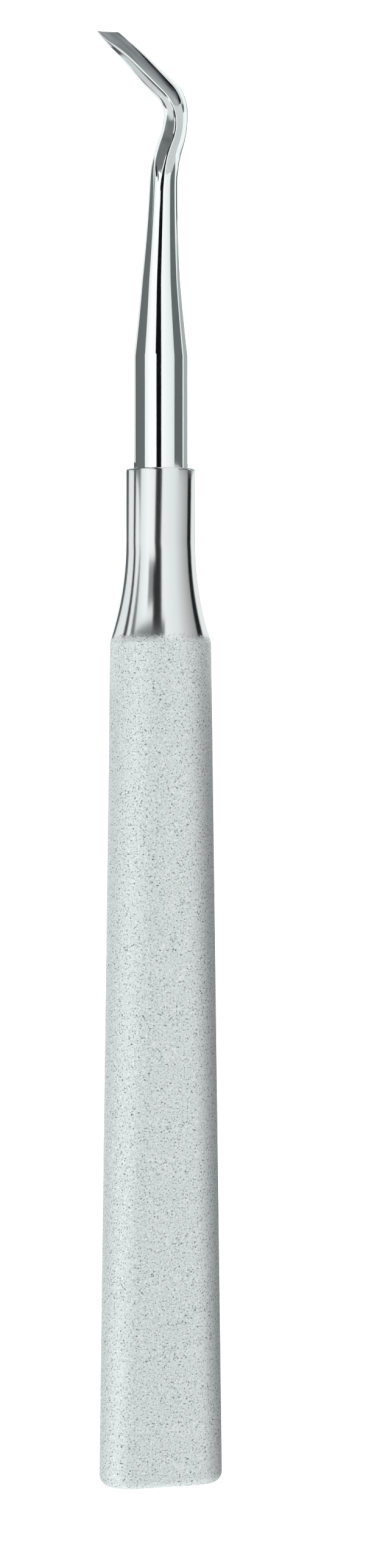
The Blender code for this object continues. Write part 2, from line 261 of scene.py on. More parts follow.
def ground_stainless_steel(name, colours, roughness, lean, middle):
    """Steel with lines that lean from the tool's axis to its left, and colours across them
    that paint shade and sheen.
    """
    material, tree = new_material(name)
    place = add_node(tree, "ShaderNodeTexCoord").outputs["Object"]
    turned = add_node(tree, "ShaderNodeMapping", inputs={
        "Vector": place, "Rotation": (0.0, 0.0, -lean)})
    along = add_node(tree, "ShaderNodeMapping", inputs={
        "Vector": turned.outputs["Vector"], "Scale": STRETCH})
    lines = add_node(tree, "ShaderNodeTexNoise", inputs={
        "Vector": along.outputs["Vector"], "Scale": 1 / GRINDING_LINE, "Detail": 3.0})
    bump = add_node(tree, "ShaderNodeBump", inputs={
        "Height": lines.outputs["Fac"], "Distance": LINE_DEPTH, "Strength": 1.0})
    rough = add_node(tree, "ShaderNodeMapRange", inputs={
        "Value": lines.outputs["Fac"], "From Min": LINE_NOISE[0], "From Max": LINE_NOISE[1],
        "To Min": roughness - LINE_ROUGHNESS, "To Max": roughness + LINE_ROUGHNESS})
    across = add_node(tree, "ShaderNodeSeparateXYZ", inputs={"Vector": turned.outputs["Vector"]})
    strayed = add_node(tree, "ShaderNodeMath", {"operation": "MULTIPLY_ADD"}, {
        0: lines.outputs["Fac"], 1: LINE_STRAY, 2: across.outputs["X"]})
    share = add_node(tree, "ShaderNodeMapRange", inputs={
        "Value": strayed.outputs["Value"], "From Min": middle + LINE_STRAY / 2 - GROUND_HALF,
        "From Max": middle + LINE_STRAY / 2 + GROUND_HALF})
    bands = add_ramp(tree, share.outputs["Result"], colours)
    add_steel(tree, bands.outputs["Color"], rough, bump)
    return material


# The facets' bands hold a faint painted sheen; the gouge's and the rim line's hold painted shade
ground = ground_stainless_steel("wheel_ground_stainless_steel", FACET_TONE_AND_SHEEN_COLOURS, FACET_ROUGHNESS,
                                FACET_LEAN, FACET_MIDDLE)
gouge_ground = ground_stainless_steel("hollow_ground_stainless_steel", HOLLOW_SHADE_COLOURS,
                                      GOUGE_ROUGHNESS, BLADE_LEAN, BLADE_MIDDLE)
painted_rim_shade = ground_stainless_steel("rim_shade_painted_steel", RIM_SHADE_COLOURS,
                                   RIM_SHADE_ROUGHNESS, BLADE_LEAN, BLADE_MIDDLE)
FINISHES = (polished, ground, gouge_ground, painted_rim_shade)
print("Finishes of the working end:", [skin.name for skin in FINISHES])

# %% [markdown]
# ## The working end, made again for the mirror
# The handle's shape serves as it is. The working end is made again at the CAD's sizes, with
# finer rings, for two reasons: a bent mirror shows every flat, and the faces that a wheel has
# touched need a finish of their own. The steps are the smith's: turn a blank, grind it while it
# is straight, bend it, and trim the tip last. It stands upright while it is made, Z along the
# tool and the gouge facing -Y, and every length is in millimetres.

# %% Sizes of the working end
SHANK_RADIUS = 3.0
TANG_END = 97.1
TANG_CHAMFER = 0.6
TAPER_START = 126.7
TAPER_END = 147.7
TAPER_POWER = 1.65
BLADE_ROOT_RADIUS = 1.55
BLADE_END_RADIUS = 0.85
NOSE_LENGTH = 3.8
NOSE_DROP = 0.26
# The bends: a slight lean and a straight stretch, the swing to the right and back, the knee
BEND_START = 134.1
FIRST_RADIUS = 60.0
FIRST_LEAN = math.radians(1.5)
FIRST_STRAIGHT = 10.1
SWING_RADIUS = 14.4
RETURN_RADIUS = 10.0
LEAN = math.radians(20.0)
BLADE_TURN = math.radians(48.7)
KNEE_RADIUS = 3.6
BLADE_STRAIGHT = 9.1
# The blade is a little thicker round a place just past the knee
BELLY_MIDDLE = 1.5
BELLY_RISE = 0.2
BELLY_REACH = 6.0
TIP_SPARE = 2.0

KNEE_START = (BEND_START + FIRST_RADIUS * FIRST_LEAN + FIRST_STRAIGHT
              + SWING_RADIUS * (LEAN - FIRST_LEAN) + RETURN_RADIUS * LEAN)
BLADE_START = KNEE_START + KNEE_RADIUS * BLADE_TURN
TIP = BLADE_START + BLADE_STRAIGHT
BLANK_END = TIP + TIP_SPARE
print("The straight blank runs from", TANG_END, "to", round(BLANK_END, 2), "mm")

# %% [markdown]
# ### Turning the blank
# A lathe turns a profile round an axis, and so does Spin. The profile starts as one point at the
# far end, and each Extrude draws it on: down the slim blade, out along the hollow curve of the
# taper, down the straight shank, and in at the chamfer of the tang.

# %% Profile and spin
BACK_COLUMNS = 76
LEFT_COLUMNS = 32
FRONT_COLUMNS = 44
RIGHT_COLUMNS = 20
BLANK_SIDES = BACK_COLUMNS + LEFT_COLUMNS + FRONT_COLUMNS + RIGHT_COLUMNS
BLADE_RING = 0.12
TAPER_RINGS = 48
# A point nearer to the axis than this has no turn round it
ON_AXIS = 1e-3


def blank_radius(height):
    """The blank's radius at a height: shank, hollow taper, then the slim blade with its belly."""
    if height <= TAPER_START:
        return SHANK_RADIUS
    if height <= TAPER_END:
        left = (TAPER_END - height) / (TAPER_END - TAPER_START)
        return BLADE_ROOT_RADIUS + (SHANK_RADIUS - BLADE_ROOT_RADIUS) * left**TAPER_POWER
    along = (height - TAPER_END) / (BLANK_END - TAPER_END)
    nose = max(0.0, 1 - (BLANK_END - height) / NOSE_LENGTH)
    from_belly = min(1.0, abs(height - BLADE_START - BELLY_MIDDLE) / BELLY_REACH)
    belly = BELLY_RISE * (1 + math.cos(math.pi * from_belly)) / 2
    return (BLADE_ROOT_RADIUS + (BLADE_END_RADIUS - BLADE_ROOT_RADIUS) * along
            + belly - NOSE_DROP * nose**2)


def draw_line(name, points):
    """One vertex drawn on by Extrude through (x, z) points, left selected in edit mode."""
    deselect_all()
    bpy.ops.mesh.primitive_plane_add(size=MM)
    line = bpy.context.object
    line.name = name
    bpy.ops.object.mode_set(mode="EDIT")
    bpy.ops.mesh.select_all(action="SELECT")
    bpy.ops.mesh.merge(type="CENTER")
    last = (0.0, 0.0)
    for count, (x, z) in enumerate(points):
        step = ((x - last[0]) * MM, 0.0, (z - last[1]) * MM)
        if count == 0:
            bpy.ops.transform.translate(value=step)
        else:
            bpy.ops.mesh.extrude_region_move(TRANSFORM_OT_translate={"value": step})
        last = (x, z)
    bpy.ops.mesh.select_all(action="SELECT")
    return line


def close_and_turn_out():
    """Merge what meets, then point all faces outwards, in edit mode."""
    bpy.ops.mesh.select_all(action="SELECT")
    bpy.ops.mesh.remove_doubles(threshold=MERGE_DISTANCE)
    bpy.ops.mesh.normals_make_consistent(inside=False)
    bpy.ops.object.mode_set(mode="OBJECT")


blade_rings = round((BLANK_END - TAPER_END) / BLADE_RING)
heights = [BLANK_END - (BLANK_END - TAPER_END) * i / blade_rings for i in range(blade_rings)]
heights += [TAPER_END - (TAPER_END - TAPER_START) * i / TAPER_RINGS for i in range(TAPER_RINGS + 1)]
profile = [(0.0, BLANK_END)] + [(blank_radius(height), height) for height in heights]
profile += [(SHANK_RADIUS, TANG_END + TANG_CHAMFER), (SHANK_RADIUS - TANG_CHAMFER, TANG_END)]
profile += [(0.0, TANG_END)]
blade = draw_line("forged_working_end", profile)
bpy.ops.mesh.spin(steps=BLANK_SIDES, angle=2 * math.pi, center=(0, 0, 0), axis=(0, 0, 1))
close_and_turn_out()
print("The blank has", len(blade.data.polygons), "faces")

# %% [markdown]
# ### Four lines along the blade
# A smith marks the blank before grinding. Four lines run along it: the left rim of the left
# facet, the crest between that facet and the front, the front's right rim, and the outer rim of
# the narrow right facet. The blank's columns of points are moved round the axis until one column
# lies on each line, so that the edges which the wheels leave are clean rows of mesh edges.

# %% Marking out
# Height in millimetres, then left rim, crest, right rim and outer rim in degrees from the front
LINES = (
    (TAPER_START, -64.0, -16.0, 24.0, 53.0), (147.4, -64.0, -16.0, 24.0, 53.0),
    (149.6, -65.0, -13.0, 23.0, 53.0), (151.1, -66.0, -9.0, 24.0, 54.0),
    (152.4, -66.0, -10.4, 24.0, 54.0), (153.4, -63.0, -17.0, 22.5, 54.0),
    (154.6, -62.0, -30.0, 20.0, 54.0), (156.0, -66.0, -36.0, 22.0, 56.0),
    (158.0, -70.0, -35.5, 26.0, 60.0), (160.0, -72.0, -35.0, 36.0, 70.0),
    (162.0, -74.0, -35.0, 52.0, 84.0), (163.1, -77.0, -38.0, 64.0, 90.0),
    (164.3, -85.0, -50.0, 74.0, 96.0), (166.1, -100.0, -76.0, 84.0, 102.0),
    (168.2, -104.0, -80.0, 85.0, 103.0))


def lines_at(height):
    """The four lines' angles at a height, on smooth curves through the table."""
    height = min(max(height, LINES[0][0]), LINES[-1][0])
    place = max(i for i in range(len(LINES) - 1) if LINES[i][0] <= height)
    rows = [LINES[min(max(i, 0), len(LINES) - 1)] for i in range(place - 1, place + 3)]
    span = rows[2][0] - rows[1][0]
    u = (height - rows[1][0]) / span
    angles = []
    for before, start, end, after in zip(*(row[1:] for row in rows)):
        lead = (end - before) / (rows[2][0] - rows[0][0]) * span
        trail = (after - start) / (rows[3][0] - rows[1][0]) * span
        angles.append((2 * u**3 - 3 * u**2 + 1) * start + (u**3 - 2 * u**2 + u) * lead
                      + (3 * u**2 - 2 * u**3) * end + (u**3 - u**2) * trail)
    return angles


def column_angle(column, height):
    """Degrees from the front of a column of points, counted from the outer rim round the back."""
    left_rim, crest, right_rim, outer_rim = lines_at(height)
    for start, end, count in ((outer_rim, left_rim + 360, BACK_COLUMNS),
                              (left_rim, crest, LEFT_COLUMNS), (crest, right_rim, FRONT_COLUMNS),
                              (right_rim, outer_rim, RIGHT_COLUMNS)):
        if column <= count:
            return start + (end - start) * column / count
        column -= count


columns = {}
for vertex in blade.data.vertices:
    x, y, z = vertex.co / MM
    if math.hypot(x, y) > ON_AXIS:
        column = round(math.atan2(x, -y) / (2 * math.pi) * BLANK_SIDES) % BLANK_SIDES
        turn = math.radians(column_angle(column, z))
        radius = math.hypot(x, y)
        vertex.co = Vector((radius * math.sin(turn), -radius * math.cos(turn), z)) * MM
        columns[vertex.index] = column
print(len(columns), "points lie on", BLANK_SIDES, "columns")

# %% [markdown]
# ### Grinding
# A Boolean would leave slivers along the crest, and the crest has to be rounded next. So each
# wheel takes the steel away point by point: what stands in front of its round edge is pushed
# back onto it. A wide wheel grinds the left, right and front facets, and a narrow one the gouge.
# Each lifts out of the steel at its lower end.

# %% Wheels
FACET_WHEEL = 16.0
GOUGE_WHEEL = 1.5
# The widest chord of a wheel that may cut, as a share of its radius
WIDEST_CHORD = 0.98
# The height at which each cut leaves the steel, and how far it takes to do so
LEFT_EXIT, LEFT_EXIT_LENGTH = 147.0, 0.8
FRONT_EXIT, FRONT_EXIT_LENGTH = 147.1, 0.8
RIGHT_EXIT, RIGHT_EXIT_LENGTH = 147.6, 2.0
GOUGE_EXIT, GOUGE_EXIT_LENGTH = 154.2, 1.5
# A point that is cut deeper than this takes the wheel's finish
TOUCHED = 0.004
# Each finish's place in FINISHES; the last is the painted shade line along the gouge's rim
POLISH, FACET_FINISH, GOUGE_FINISH, RIM_SHADE = range(4)


def wheel_edge(height, left_rim, right_rim, wheel_radius):
    """Turn of a wheel that meets the blank at two rims, and its centre's reach from the axis."""
    radius = blank_radius(height)
    rim = math.radians((right_rim - left_rim) / 2)
    chord = min(radius * math.sin(rim), WIDEST_CHORD * wheel_radius)
    reach = radius * math.cos(rim) + math.sqrt(wheel_radius**2 - chord**2)
    return math.radians((right_rim + left_rim) / 2), reach


def push_back(x, y, turn, reach, wheel_radius):
    """A point of the section (x, y), moved back onto a wheel's edge if it stands before it."""
    forward = (math.sin(turn), -math.cos(turn))
    out = x * forward[0] + y * forward[1]
    aside = -x * forward[1] + y * forward[0]
    if abs(aside) >= wheel_radius or (out <= 0 and wheel_radius > GOUGE_WHEEL):
        return x, y, 0.0
    depth = out - (reach - math.sqrt(wheel_radius**2 - aside**2))
    if depth <= 0:
        return x, y, 0.0
    return x - depth * forward[0], y - depth * forward[1], depth


def grind(first_line, last_line, wheel_radius, exit_height, exit_length, finish):
    """Grind between two of the four lines, and note the finish of each point touched."""
    for index, column in columns.items():
        vertex = blade.data.vertices[index]
        x, y, z = vertex.co / MM
        if z < exit_height:
            continue
        lines = lines_at(z)
        turn, reach = wheel_edge(z, lines[first_line], lines[last_line], wheel_radius)
        edge_depth = blank_radius(z) - reach + wheel_radius
        rise = max(0.0, 1 - (z - exit_height) / exit_length)
        x, y, depth = push_back(x, y, turn, reach + edge_depth * rise**3, wheel_radius)
        vertex.co = Vector((x, y, z)) * MM
        if depth > TOUCHED:
            finishes[index] = finish


finishes = {}
grind(0, 1, FACET_WHEEL, LEFT_EXIT, LEFT_EXIT_LENGTH, FACET_FINISH)
grind(2, 3, FACET_WHEEL, RIGHT_EXIT, RIGHT_EXIT_LENGTH, POLISH)
grind(1, 2, FACET_WHEEL, FRONT_EXIT, FRONT_EXIT_LENGTH, FACET_FINISH)
grind(1, 2, GOUGE_WHEEL, GOUGE_EXIT, GOUGE_EXIT_LENGTH, GOUGE_FINISH)
print("The wheels have touched", len(finishes), "points")

# %% [markdown]
# ### A finish for each face
# The faces that a wheel has touched take its finish. The crest, the right rim and the right
# facet are polished again afterwards. A line of painted shade, nearly black steel that stands in
# for the dark edge of the hollow, lies in the gouge beside its right rim, and narrows to nothing
# towards the tip.

# %% Finishes by face
# Columns at the crest and the right rim, and how many beside them are polished again
CREST_COLUMN = BACK_COLUMNS + LEFT_COLUMNS
RIM_COLUMN = CREST_COLUMN + FRONT_COLUMNS
CREST_POLISH = 4
RIM_POLISH = 2
# The painted shade line's full width in columns, where it ends, and the height that narrows
# it by one
RIM_SHADE_COLUMNS = 9
RIM_SHADE_TOP = 165.0 * MM
RIM_SHADE_TAPER = 0.5 * MM

for skin in FINISHES:
    blade.data.materials.append(skin)
for face in blade.data.polygons:
    touched = [finishes.get(index, POLISH) for index in face.vertices]
    beside = [columns.get(index, 0) for index in face.vertices]
    if (any(abs(column - CREST_COLUMN) <= CREST_POLISH for column in beside)
            or any(abs(column - RIM_COLUMN) < RIM_POLISH for column in beside)):
        touched = [POLISH]
    face.material_index = max(set(touched), key=touched.count)
    # Faces in the gouge next to its right rim take the painted shade line
    line_width = min(RIM_SHADE_COLUMNS, (RIM_SHADE_TOP - face.center.z) / RIM_SHADE_TAPER)
    if face.material_index == GOUGE_FINISH and min(beside) >= RIM_COLUMN - line_width:
        face.material_index = RIM_SHADE
print("Ground faces:", sum(face.material_index > 0 for face in blade.data.polygons))

# %% [markdown]
# ### Rounding the crest
# Felt wheels follow the grinding, and they round the crest. A Smooth modifier does the same
# where a vertex group lets it: its weight is full on the crest and falls to nothing a quarter to
# three quarters of a millimetre away. The round crest is what draws the fine dark line along the
# blade, because it turns through the one direction in which the camera's slot is reflected. The
# lips where the wheels left the steel and the gouge's right rim are softened a little too.

# %% Vertex group and Smooth modifier
# Half the rounded width at heights along the crest
CREST_WIDTH = ((TAPER_END - 1.0, 0.7), (KNEE_START, 0.7), (BLADE_START, 0.3), (TIP, 0.25))
FELT_PASSES = 320
FELT_PRESSURE = 0.5
FELT_START = LEFT_EXIT - 1.5
# Columns behind the left rim that the felt still reaches
FELT_BEHIND = 8
# The felt's weight on the lips, their height over the left cut's end, and its reach from there
LIP_FELT, LIP_RISE, LIP_REACH = 0.5, 0.3, 0.9
RIM_WIDTH = 0.14


def between(height, table):
    """A straight-line value between the (height, value) pairs of a table."""
    for (low, first), (high, last) in zip(table, table[1:]):
        if height <= high:
            return first + (last - first) * max(0.0, (height - low) / (high - low))
    return table[-1][1]


felt = blade.vertex_groups.new(name="felt")
for index, column in columns.items():
    x, y, z = blade.data.vertices[index].co / MM
    if z < FELT_START:
        continue
    left_rim, crest, right_rim = lines_at(z)[:3]
    spread = (crest - left_rim) / LEFT_COLUMNS
    if column > CREST_COLUMN:
        spread = (right_rim - crest) / FRONT_COLUMNS
    away = math.radians(abs(column - CREST_COLUMN) * spread) * blank_radius(z)
    weight = 1 - (away / between(z, CREST_WIDTH))**2
    weight = max(weight, LIP_FELT * (1 - abs(z - LEFT_EXIT - LIP_RISE) / LIP_REACH))
    if z > KNEE_START:
        away = math.radians(abs(column - RIM_COLUMN) * spread) * blank_radius(z)
        weight = max(weight, 1 - (away / RIM_WIDTH)**2)
    if weight > 0 and column > BACK_COLUMNS - FELT_BEHIND:
        felt.add([index], weight, "REPLACE")
select_only(blade)
smooth = blade.modifiers.new("smooth", "SMOOTH")
smooth.factor = FELT_PRESSURE
smooth.iterations = FELT_PASSES
smooth.vertex_group = felt.name
bpy.ops.object.modifier_apply(modifier=smooth.name)
print("The felt wears", sum(len(vertex.groups) > 0 for vertex in blade.data.vertices), "points")

# %% [markdown]
# ### Bending
# The blank is bent cold over a former: a slight lean, a swing to the right, back upright, and
# the turn of the blade to the left. A Curve modifier carries the straight steel along such a
# line of arcs. The line's points are tilted half a turn, because the modifier otherwise turns
# the gouge to the back.

# %% Line of arcs and Curve modifier


def arc(place, heading, radius, turn, steps=20):
    """Points of an arc from a place, and the heading at its end."""
    x, z = place
    side = math.copysign(radius, turn)
    points = []
    for step in range(1, steps + 1):
        now = heading + turn * step / steps
        points.append((x + side * (math.cos(heading) - math.cos(now)),
                       z + side * (math.sin(now) - math.sin(heading))))
    return points, heading + turn


def straight(place, heading, length, steps):
    """Points of a straight stretch from a place."""
    x, z = place
    return [(x + math.sin(heading) * length * i / steps, z + math.cos(heading) * length * i / steps)
            for i in range(1, steps + 1)]


line = [(0.0, 0.0), (0.0, BEND_START / 2), (0.0, BEND_START - 1.0), (0.0, BEND_START)]
points, heading = arc(line[-1], 0.0, FIRST_RADIUS, FIRST_LEAN, steps=8)
line += points
line += straight(line[-1], heading, FIRST_STRAIGHT, steps=10)
for radius, turn in ((SWING_RADIUS, LEAN - FIRST_LEAN), (RETURN_RADIUS, -LEAN),
                     (KNEE_RADIUS, -BLADE_TURN)):
    points, heading = arc(line[-1], heading, radius, turn)
    line += points
line += straight(line[-1], heading, BLADE_STRAIGHT, steps=12)
tip = line[-1]
line += straight(line[-1], heading, 2 * TIP_SPARE, steps=3)

deselect_all()
bpy.ops.curve.primitive_nurbs_path_add()
former = bpy.context.object
former.data.splines.clear()
spline = former.data.splines.new("POLY")
spline.points.add(len(line) - 1)
for point, (x, z) in zip(spline.points, line):
    point.co = (x * MM, 0.0, z * MM, 1.0)
    point.tilt = math.pi
select_only(blade)
bend = blade.modifiers.new("bend", "CURVE")
bend.object = former
bend.deform_axis = "POS_Z"
bpy.ops.object.modifier_apply(modifier=bend.name)
bpy.data.objects.remove(former)
print("The blade turns", round(math.degrees(-heading), 1), "degrees to the left")

# %% [markdown]
# ### Trimming the tip
# The bent tip is cut square to the handle, with its outer corner rounded, and its back is
# bevelled until a thin land is left at the cutting edge. The first tool is an outline that is
# filled and extruded, the second a tilted block.

# %% Tip and back bevel
TIP_CORNER = 0.8
CORNER_STEPS = 12
BACK_BEVEL = math.radians(25.0)
TIP_LAND = 0.12
TOOL_REACH = 8.0


def cut_away(tool):
    """Cut the blade with a tool, whose faces leave the facets' finish, and delete the tool."""
    for skin in FINISHES:
        tool.data.materials.append(skin)
    tool.data.polygons.foreach_set("material_index", [FACET_FINISH] * len(tool.data.polygons))
    select_only(blade)
    cut = blade.modifiers.new("cut", "BOOLEAN")
    cut.operation = "DIFFERENCE"
    cut.solver = "EXACT"
    cut.material_mode = "INDEX"
    cut.object = tool
    bpy.ops.object.modifier_apply(modifier=cut.name)
    bpy.data.objects.remove(tool)


x, z = tip
corner_turn = math.pi / 2 - BLADE_TURN
corner = x + blank_radius(TIP - BLADE_END_RADIUS) / math.cos(BLADE_TURN)
start = corner - TIP_CORNER * math.tan(corner_turn / 2)
outline = [(x - TOOL_REACH, z), (start, z)]
outline += [(start + TIP_CORNER * math.sin(corner_turn * i / CORNER_STEPS),
             z - TIP_CORNER * (1 - math.cos(corner_turn * i / CORNER_STEPS)))
            for i in range(1, CORNER_STEPS + 1)]
outline += [(x + TOOL_REACH, outline[-1][1]), (x + TOOL_REACH, z + TOOL_REACH),
            (x - TOOL_REACH, z + TOOL_REACH)]
trimmer = draw_line("tip_trimmer", outline)
bpy.ops.mesh.edge_face_add()
bpy.ops.transform.translate(value=(0.0, -TOOL_REACH * MM, 0.0))
bpy.ops.mesh.extrude_region_move(
    TRANSFORM_OT_translate={"value": (0.0, 2 * TOOL_REACH * MM, 0.0)})
close_and_turn_out()
cut_away(trimmer)

deselect_all()
gouge_floor = GOUGE_WHEEL - wheel_edge(TIP, *lines_at(TIP)[1:3], GOUGE_WHEEL)[1]
bpy.ops.mesh.primitive_cube_add(
    size=2 * TOOL_REACH * MM, rotation=(BACK_BEVEL, 0.0, 0.0),
    location=(x * MM, (gouge_floor + TIP_LAND + TOOL_REACH * math.cos(BACK_BEVEL)) * MM,
              (z + TOOL_REACH * math.sin(BACK_BEVEL)) * MM))
cut_away(bpy.context.object)
print("At the tip the gouge goes", round(gouge_floor + blank_radius(TIP), 2), "mm into the blank")

# %% [markdown]
# ### Crisp edges and the rest pose
# The face corners are smooth except where two cuts meet. One more edge is marked, the
# ring where the straight shank turns into the taper: it is too blunt for the angle to find, yet
# the reflected stripes break there. Then the piece is laid down as the tool lies on its flat
# back.

# %% Mark, shade and lay down
TOOL_LENGTH = z
# The handle's depth at its shoulder and its butt, and the length between them, tilt the axis
SHOULDER_DEPTH, BUTT_DEPTH, GRIP_LENGTH = 11.3, 7.0, 94.7
HANDLE_SLOPE = math.atan((SHOULDER_DEPTH - BUTT_DEPTH) / 2 / GRIP_LENGTH)
CUT_ANGLE = math.radians(14)
RING_TOLERANCE = 1e-6

select_only(blade)
on_ring = [abs(vertex.co.z - TAPER_START * MM) < RING_TOLERANCE for vertex in blade.data.vertices]
bpy.ops.object.shade_smooth_by_angle(angle=CUT_ANGLE)
ring = 0
for edge in blade.data.edges:
    if all(on_ring[index] for index in edge.vertices):
        edge.use_edge_sharp = True
        ring += 1
blade.rotation_euler = (HANDLE_SLOPE - math.pi / 2, 0.0, 0.0)
blade.location = (0.0, -TOOL_LENGTH * MM * math.cos(HANDLE_SLOPE) / 2,
                  BUTT_DEPTH / 2 * MM * math.cos(HANDLE_SLOPE))
bpy.ops.object.transform_apply(location=True, rotation=True)
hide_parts("working_end")
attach(blade, "root")
print("Ring edges:", ring)
low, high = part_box("working_end")
print("CAD box", [round(c / MM, 3) for c in (*low, *high)])
own = [vertex.co for vertex in blade.data.vertices]
print("own box", [round(f(c[i] for c in own) / MM, 3) for f in (min, max) for i in range(3)])

# %% [markdown]
# ## Sandblasted stainless steel with a polished neck
# The grip is blasted with grit of about 0.2 mm, which leaves a dull grey skin full of tiny
# craters. Each crater has a side that catches the lamp and a side that doesn't, so the skin
# sparkles in light and dark specks. The bump gives a little of that, and the steel's colour paints
# the rest: painted highlights, near white, on the crater tops and painted shade, dark grey, in the
# pits. The neck was masked while the grit flew, and keeps a satin polish. Where the mask ended the
# craters thin out over half a millimetre instead of stopping at a line. One material does both, so
# that the craters can fade into the polish.

# %% Blasted steel
# Grain height from pit to peak, and its colour there: painted shade in the pits, painted
# highlights on the tops
GRAIN_SHADE_AND_GLINT_COLOURS = ((0.30, "#565C5C"), (0.40, "#DAE1E0"), (0.60, "#EAF0EF"), (0.74, "#FFFFFF"))
GRIT_SIZE = 0.19 * MM
CRATER_DEPTH = 0.055 * MM
BLASTED_ROUGHNESS = 0.64
SATIN_ROUGHNESS = 0.15
NECK_COLOUR = "#D6DCDB"
# Where the mask began, and the width over which the craters stray across its edge
BLAST_END = 13.9 * MM
BLAST_FADE = 0.9 * MM
FADE_START, FADE_END = 0.7, 1.3


def sandblasted_stainless_steel():
    material, tree = new_material("sandblasted_stainless_steel")
    place = add_node(tree, "ShaderNodeTexCoord").outputs["Object"]
    craters = add_node(tree, "ShaderNodeTexNoise", inputs={
        "Vector": place, "Scale": 1 / GRIT_SIZE, "Detail": 2.0, "Roughness": 0.6})
    along = add_node(tree, "ShaderNodeSeparateXYZ", inputs={"Vector": place}).outputs["Y"]
    edge = add_node(tree, "ShaderNodeMath", {"operation": "MULTIPLY_ADD"}, {
        0: craters.outputs["Fac"], 1: 2 * BLAST_FADE, 2: along})
    blasted = add_node(tree, "ShaderNodeMapRange", inputs={
        "Value": edge.outputs["Value"], "From Min": BLAST_END + BLAST_FADE * FADE_END,
        "From Max": BLAST_END + BLAST_FADE * FADE_START}).outputs["Result"]
    # The craters' colour: painted shade in the pits, painted highlights on the tops
    grain_and_painted_specks = add_ramp(tree, craters.outputs["Fac"], GRAIN_SHADE_AND_GLINT_COLOURS)
    colour = add_node(tree, "ShaderNodeMix", {"data_type": "RGBA"}, {"Factor": blasted})
    colour.inputs[6].default_value = linear(NECK_COLOUR)
    tree.links.new(grain_and_painted_specks.outputs["Color"], colour.inputs[7])
    rough = add_node(tree, "ShaderNodeMapRange", inputs={
        "Value": blasted, "To Min": SATIN_ROUGHNESS, "To Max": BLASTED_ROUGHNESS})
    bump = add_node(tree, "ShaderNodeBump", inputs={
        "Height": craters.outputs["Fac"], "Distance": CRATER_DEPTH, "Strength": blasted})
    add_steel(tree, colour.outputs[2], rough, bump)
    return material


handle.data.materials.append(sandblasted_stainless_steel())
print("The handle wears", handle.data.materials[0].name)

# %% [markdown]
# ## Camera
# The photograph looks down on the tool from 19 degrees to its left, turned so that the handle
# stands upright in the picture. The camera is nearly half a metre away, as for a product
# picture, so the sides stay almost parallel.

# %% Camera
LOOK_FROM_LEFT = math.radians(19)
FRAME_HEIGHT = 175.6 * MM
CAMERA_DISTANCE = 450 * MM
PICTURE_ROLL = math.radians(0.42)
FRAME_CENTRE = Vector((2.36, -2.4, 6.1)) * MM

back = Vector((-math.sin(LOOK_FROM_LEFT), 0.0, math.cos(LOOK_FROM_LEFT)))
level_right = Vector((math.cos(LOOK_FROM_LEFT), 0.0, math.sin(LOOK_FROM_LEFT)))
level_up = Vector((0.0, 1.0, 0.0))
right = level_right * math.cos(PICTURE_ROLL) - level_up * math.sin(PICTURE_ROLL)
up = level_up * math.cos(PICTURE_ROLL) + level_right * math.sin(PICTURE_ROLL)
bpy.ops.object.camera_add()
camera = bpy.context.object
camera.name = "camera"
turned = Matrix((right, up, back)).transposed().to_4x4()
camera.matrix_world = Matrix.Translation(FRAME_CENTRE + back * CAMERA_DISTANCE) @ turned
camera.data.lens = CAMERA_DISTANCE * camera.data.sensor_width / FRAME_HEIGHT
camera.data.clip_start = 10 * MM
camera.data.clip_end = 10.0
bpy.context.scene.camera = camera
bpy.context.scene.view_settings.view_transform = "Standard"
print("The lens is", round(camera.data.lens), "mm")

# %% [markdown]
# ## Light tent
# Polished steel is lit by what it reflects. Over the tool stands a half-round tent of glowing
# cloth, drawn along it like a tunnel. It is brightest above the tool's left and dims low on the
# right, and is never seen by the camera itself.

# %% Tent
TENT_RADIUS = 0.8
TENT_LENGTH = 3.0
TENT_SIDES = 96
# Degrees from straight up towards the tool's right, and the glow there
TENT_GLOW = ((-90, 1.05), (-60, 1.3), (-40, 1.27), (-12, 1.2), (30, 1.04), (60, 0.68), (90, 0.38))


def glowing_cloth():
    material, tree = new_material("glowing_tent_cloth")
    place = add_node(tree, "ShaderNodeTexCoord").outputs["Object"]
    axes = add_node(tree, "ShaderNodeSeparateXYZ", inputs={"Vector": place})
    turn = add_node(tree, "ShaderNodeMath", {"operation": "ARCTAN2"}, {
        0: axes.outputs["X"], 1: axes.outputs["Z"]})
    share = add_node(tree, "ShaderNodeMapRange", inputs={
        "Value": turn.outputs["Value"], "From Min": -math.pi / 2, "From Max": math.pi / 2})
    ramp = add_node(tree, "ShaderNodeValToRGB", inputs={"Fac": share.outputs["Result"]})
    stops = ramp.color_ramp.elements
    brightest = max(glow for degrees, glow in TENT_GLOW)
    for degrees, glow in TENT_GLOW[1:-1]:
        stops.new((degrees + 90) / 180)
    for stop, (degrees, glow) in zip(stops, TENT_GLOW):
        stop.color = (*[glow / brightest] * 3, 1.0)
    shine = add_node(tree, "ShaderNodeEmission", inputs={
        "Color": ramp.outputs["Color"], "Strength": brightest})
    add_node(tree, "ShaderNodeOutputMaterial", inputs={"Surface": shine.outputs["Emission"]})
    return material


deselect_all()
bpy.ops.mesh.primitive_cylinder_add(
    vertices=TENT_SIDES, radius=TENT_RADIUS, depth=TENT_LENGTH, end_fill_type="NOTHING",
    rotation=(math.pi / 2, 0.0, 0.0))
tent = bpy.context.object
tent.name = "light_tent"
bpy.ops.object.transform_apply(rotation=True)
bpy.ops.object.mode_set(mode="EDIT")
bpy.ops.mesh.select_all(action="SELECT")
bpy.ops.mesh.bisect(plane_co=(0.0, 0.0, 0.0), plane_no=(0.0, 0.0, 1.0), clear_inner=True)
bpy.ops.object.mode_set(mode="OBJECT")
tent.data.materials.append(glowing_cloth())
tent.visible_camera = False
tent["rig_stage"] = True
print("The tent has", len(tent.data.polygons), "strips of cloth")

